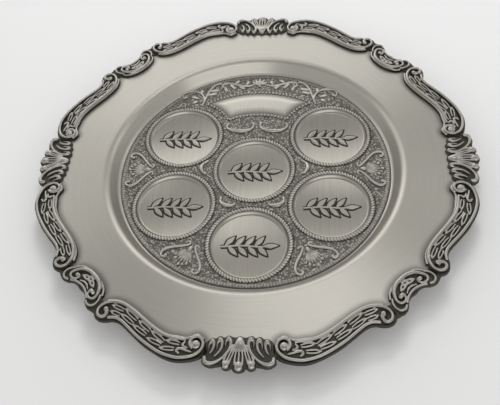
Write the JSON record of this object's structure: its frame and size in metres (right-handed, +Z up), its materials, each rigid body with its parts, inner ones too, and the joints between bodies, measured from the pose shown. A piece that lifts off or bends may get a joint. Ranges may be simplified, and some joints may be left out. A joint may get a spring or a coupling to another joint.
{
  "type": "seder plate",
  "caption": "Round metal seder plate with a wide brushed flange, a stippled medallion of rope-edged cups and a blank plaque, and a cast border of shells, laurel bands and scrolls.",
  "frame": {"origin": "centre of the dish's underside, on the surface it rests on", "axes": "+Z up, -Y to the front edge where the lettuce cup is, +Y to the back where the plaque is, +X to the right"},
  "size_m": [0.4038, 0.4038, 0.0243],
  "materials": {
    "flange_metal": "circular brushed, lacquered pewter plate",
    "medallion_metal": "pressed and stippled pewter plate with dark patina in the ground",
    "cup_metal": "straight brushed pewter plate with dark patina round the raised sprig",
    "plaque_metal": "straight brushed pewter plate",
    "border_metal": "cast and polished pewter plate with dark patina in the recesses"
  },
  "bodies": {
    "root": {"bitter_herb_cup": "cup_metal", "corner_scroll_back_left": "border_metal", "corner_scroll_back_right": "border_metal", "corner_scroll_front_left": "border_metal", "corner_scroll_front_right": "border_metal", "dish": "flange_metal", "egg_cup": "cup_metal", "greens_cup": "cup_metal", "laurel_band_back_left": "border_metal", "laurel_band_back_right": "border_metal", "laurel_band_front_left": "border_metal", "laurel_band_front_right": "border_metal", "laurel_band_left_back": "border_metal", "laurel_band_left_front": "border_metal", "laurel_band_right_back": "border_metal", "laurel_band_right_front": "border_metal", "lettuce_cup": "cup_metal", "medallion": "medallion_metal", "plaque": "plaque_metal", "shank_bone_cup": "cup_metal", "shell_mount_back": "border_metal", "shell_mount_front": "border_metal", "shell_mount_left": "border_metal", "shell_mount_right": "border_metal", "sweet_paste_cup": "cup_metal"}
  },
  "joints": []
}
